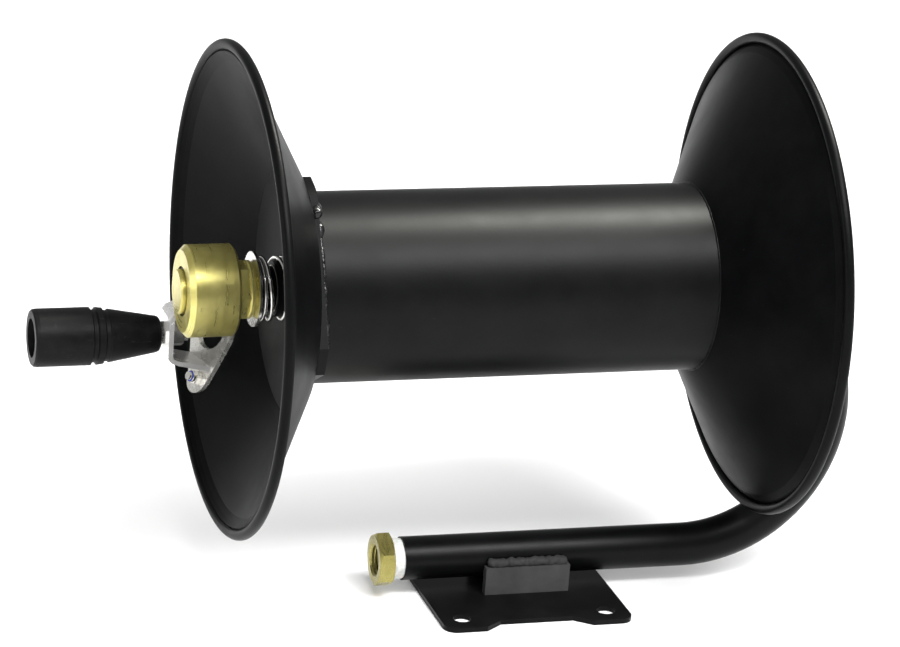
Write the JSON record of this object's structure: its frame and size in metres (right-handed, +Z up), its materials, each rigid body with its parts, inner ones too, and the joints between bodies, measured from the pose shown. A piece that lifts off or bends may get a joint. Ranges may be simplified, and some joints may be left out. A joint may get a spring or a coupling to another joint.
{
  "type": "hose reel",
  "caption": "Hand-cranked hose reel: dished steel drum turning on a bent-pipe stand with a bolt-down base plate, brass inlet swivel and a crank grip.",
  "frame": {"origin": "centre of the four-hole pattern on the underside of the base plate", "axes": "+X along the drum axis from the swivel and crank side to the pipe bend, +Y away from the viewer, towards the side where the crank rests, +Z up"},
  "size_m": [0.5012, 0.296, 0.3485],
  "materials": {
    "black_coat": "satin powder coat",
    "brass": "satin machined",
    "zinc": "zinc plated",
    "white_tape": "matt thread tape",
    "seal_rubber": "matt",
    "bush_plastic": "matt acetal",
    "blue_insert": "gloss nylon",
    "grip_rubber": "satin rubber"
  },
  "bodies": {
    "frame": {"frame_pipe": "black_coat", "base_plate": "black_coat", "saddle_bars": "black_coat", "frame_welds": "black_coat", "inlet_bushing": "brass", "sealing_tape": "white_tape", "swivel_stem": "brass", "stem_seals": "seal_rubber", "stem_clip": "zinc", "thrust_washer": "zinc", "axle_collar": "black_coat"},
    "drum": {"drum_tube": "black_coat", "left_disc": "black_coat", "right_disc": "black_coat", "hub_plate": "black_coat", "drum_welds": "black_coat", "hub_tube": "black_coat", "hub_bushes": "bush_plastic", "brake_spring": "zinc", "crank_flange": "zinc", "crank_bracket": "zinc", "flange_bolts": "zinc", "flange_nuts": "zinc", "nut_inserts": "blue_insert", "crank_spindle": "zinc", "spindle_nuts": "zinc"},
    "swivel": {"swivel_body": "brass"},
    "grip": {"grip": "grip_rubber", "grip_sleeve": "zinc"}
  },
  "joints": [
    {"name": "drum_spin", "type": "hinge", "parent": "frame", "child": "drum", "pos_m": [-0.022, 0, 0.2005], "axis": [1, 0, 0], "continuous": true},
    {"name": "swivel_turn", "type": "hinge", "parent": "frame", "child": "swivel", "pos_m": [-0.204, 0, 0.2005], "axis": [1, 0, 0], "continuous": true},
    {"name": "grip_spin", "type": "hinge", "parent": "drum", "child": "grip", "pos_m": [-0.248, 0.093, 0.1405], "axis": [1, 0, 0], "continuous": true}
  ],
  "couplings": [
    {"joint": "swivel_turn", "follows": "drum_spin", "ratio": 1}
  ]
}
